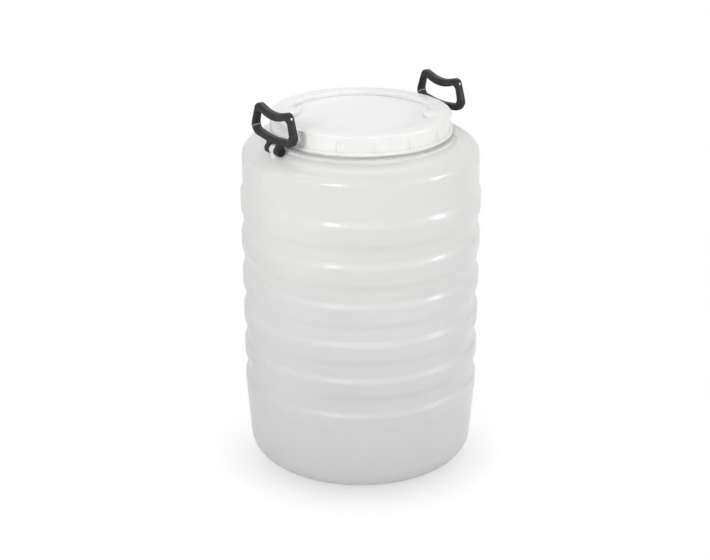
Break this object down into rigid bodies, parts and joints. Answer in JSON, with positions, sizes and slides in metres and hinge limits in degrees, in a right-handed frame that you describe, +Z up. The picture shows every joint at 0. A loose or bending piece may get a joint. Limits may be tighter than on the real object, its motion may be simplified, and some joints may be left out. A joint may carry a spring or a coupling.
{
  "type": "plastic barrel",
  "caption": "Upright ribbed plastic storage barrel with a wide-mouth screw closure over a loose inner lid, and swing carry handles hinged on its shoulder.",
  "frame": {"origin": "centre of the round base, on the surface the barrel stands on", "axes": "+Z up along the barrel's axis, +X towards the right handle, -X towards the left handle"},
  "size_m": [0.39, 0.39, 0.6128],
  "materials": {
    "body_plastic": "milky, slightly translucent, satin blow-moulded polyethylene",
    "closure_plastic": "warm white injection-moulded plastic, semi-gloss",
    "panel_plastic": "cool white, fine matte",
    "seal_rubber": "soft grey sealing ring",
    "handle_plastic": "black moulded plastic, satin",
    "pin_plastic": "black, satin"
  },
  "bodies": {
    "barrel": {"barrel_body": "body_plastic"},
    "lid": {"lid_disc": "panel_plastic", "lid_gasket": "seal_rubber"},
    "ring": {"screw_ring": "closure_plastic"},
    "right_handle": {"right_handle": "handle_plastic", "right_hinge_pin": "pin_plastic"},
    "left_handle": {"left_handle": "handle_plastic", "left_hinge_pin": "pin_plastic"}
  },
  "joints": [
    {"name": "lid_lift", "type": "slide", "parent": "barrel", "child": "lid", "axis": [0, 0, 1], "range_m": [0, 0.12]},
    {"name": "ring_turn", "type": "hinge", "parent": "lid", "child": "ring", "pos_m": [0, 0, 0.564], "axis": [0, 0, 1], "range_deg": [0, 450]},
    {"name": "right_handle_swing", "type": "hinge", "parent": "barrel", "child": "right_handle", "pos_m": [0.166, 0, 0.5465], "axis": [0, 1, 0], "range_deg": [-34, 124]},
    {"name": "left_handle_swing", "type": "hinge", "parent": "barrel", "child": "left_handle", "pos_m": [-0.166, 0, 0.5465], "axis": [0, -1, 0], "range_deg": [-34, 124]}
  ]
}
